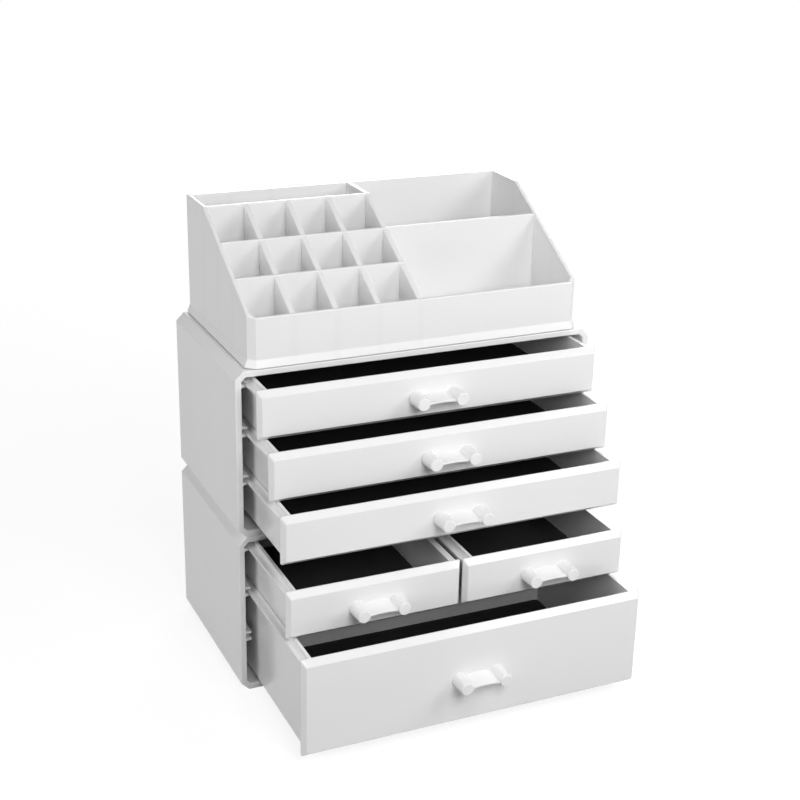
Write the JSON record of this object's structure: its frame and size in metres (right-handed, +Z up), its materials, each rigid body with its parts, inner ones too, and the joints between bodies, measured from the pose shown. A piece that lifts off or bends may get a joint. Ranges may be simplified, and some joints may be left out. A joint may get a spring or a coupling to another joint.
{
  "type": "makeup organizer",
  "caption": "White stacking cosmetics organizer: a tiered compartment tray over drawer cases, whose sliding drawers have small post pulls and black liners.",
  "frame": {"origin": "centre of the lower case's flat underside", "axes": "+Z up, the drawers open towards -Y, +X to the right seen from the front"},
  "size_m": [0.24, 0.2299, 0.2944],
  "materials": {
    "case_plastic": "glossy moulded white",
    "tray_plastic": "glossy moulded white",
    "drawer_plastic": "glossy moulded white",
    "handle_plastic": "glossy moulded white",
    "screw_steel": "zinc-plated",
    "black_liner": "fine black mesh"
  },
  "bodies": {
    "lower_case": {"lower_case": "case_plastic", "centre_rail": "case_plastic"},
    "upper_case": {"upper_case": "case_plastic"},
    "top_tray": {"top_tray": "tray_plastic"},
    "upper_drawer_1": {"upper_drawer_1": "drawer_plastic", "upper_drawer_1_handle": "handle_plastic", "upper_drawer_1_screws": "screw_steel", "upper_drawer_1_liner": "black_liner"},
    "upper_drawer_2": {"upper_drawer_2": "drawer_plastic", "upper_drawer_2_handle": "handle_plastic", "upper_drawer_2_screws": "screw_steel", "upper_drawer_2_liner": "black_liner"},
    "upper_drawer_3": {"upper_drawer_3": "drawer_plastic", "upper_drawer_3_handle": "handle_plastic", "upper_drawer_3_screws": "screw_steel", "upper_drawer_3_liner": "black_liner"},
    "small_drawer_left": {"small_drawer_left": "drawer_plastic", "small_drawer_left_handle": "handle_plastic", "small_drawer_left_screws": "screw_steel", "small_drawer_left_liner": "black_liner"},
    "small_drawer_right": {"small_drawer_right": "drawer_plastic", "small_drawer_right_handle": "handle_plastic", "small_drawer_right_screws": "screw_steel", "small_drawer_right_liner": "black_liner"},
    "large_drawer": {"large_drawer": "drawer_plastic", "large_drawer_handle": "handle_plastic", "large_drawer_screws": "screw_steel", "large_drawer_liner": "black_liner"}
  },
  "joints": [
    {"name": "upper_case_lift", "type": "slide", "parent": "lower_case", "child": "upper_case", "axis": [0, 0, 1], "range_m": [0, 0.12]},
    {"name": "top_tray_lift", "type": "slide", "parent": "upper_case", "child": "top_tray", "axis": [0, 0, 1], "range_m": [0, 0.1]},
    {"name": "upper_drawer_1_slide", "type": "slide", "parent": "upper_case", "child": "upper_drawer_1", "axis": [0, -1, 0], "range_m": [-0.0228, 0.0752]},
    {"name": "upper_drawer_2_slide", "type": "slide", "parent": "upper_case", "child": "upper_drawer_2", "axis": [0, -1, 0], "range_m": [-0.0425, 0.0555]},
    {"name": "upper_drawer_3_slide", "type": "slide", "parent": "upper_case", "child": "upper_drawer_3", "axis": [0, -1, 0], "range_m": [-0.0618, 0.0362]},
    {"name": "small_drawer_left_slide", "type": "slide", "parent": "lower_case", "child": "small_drawer_left", "axis": [0, -1, 0], "range_m": [-0.0695, 0.0285]},
    {"name": "small_drawer_right_slide", "type": "slide", "parent": "lower_case", "child": "small_drawer_right", "axis": [0, -1, 0], "range_m": [-0.0695, 0.0285]},
    {"name": "large_drawer_slide", "type": "slide", "parent": "lower_case", "child": "large_drawer", "axis": [0, -1, 0], "range_m": [-0.0941, 0.0039]}
  ]
}
